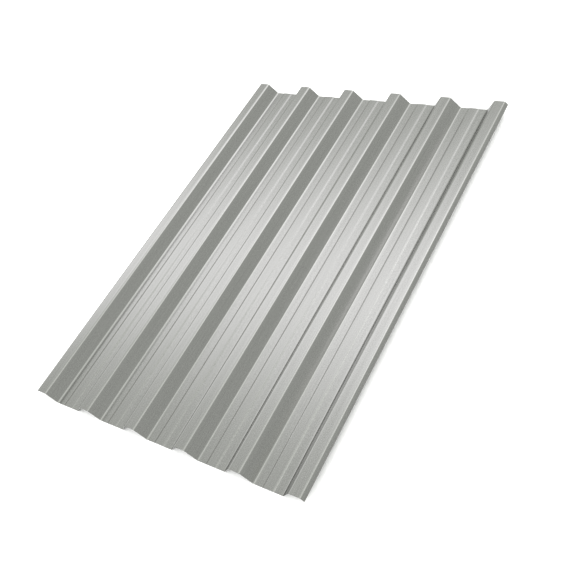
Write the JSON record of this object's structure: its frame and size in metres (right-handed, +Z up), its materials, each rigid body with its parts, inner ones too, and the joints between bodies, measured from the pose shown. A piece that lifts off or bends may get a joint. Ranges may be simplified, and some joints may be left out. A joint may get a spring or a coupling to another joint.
{
  "type": "corrugated metal sheet",
  "caption": "Trapezoidal profiled steel sheet with flat crests, sloping webs and wide pans, each pan stiffened by a shallow central bead, and a short turned-down lip on each long edge.",
  "frame": {"origin": "middle of the underside, level with the floor the pans lie on", "axes": "+Y along the corrugations, +X across them, +Z up out of the face that is seen when laid"},
  "size_m": [1.0574, 1.54, 0.044],
  "materials": {
    "coated_steel": "satin silver-grey coil coating on galvanised steel, with bare cut ends"
  },
  "bodies": {
    "root": {"sheet": "coated_steel"}
  },
  "joints": []
}
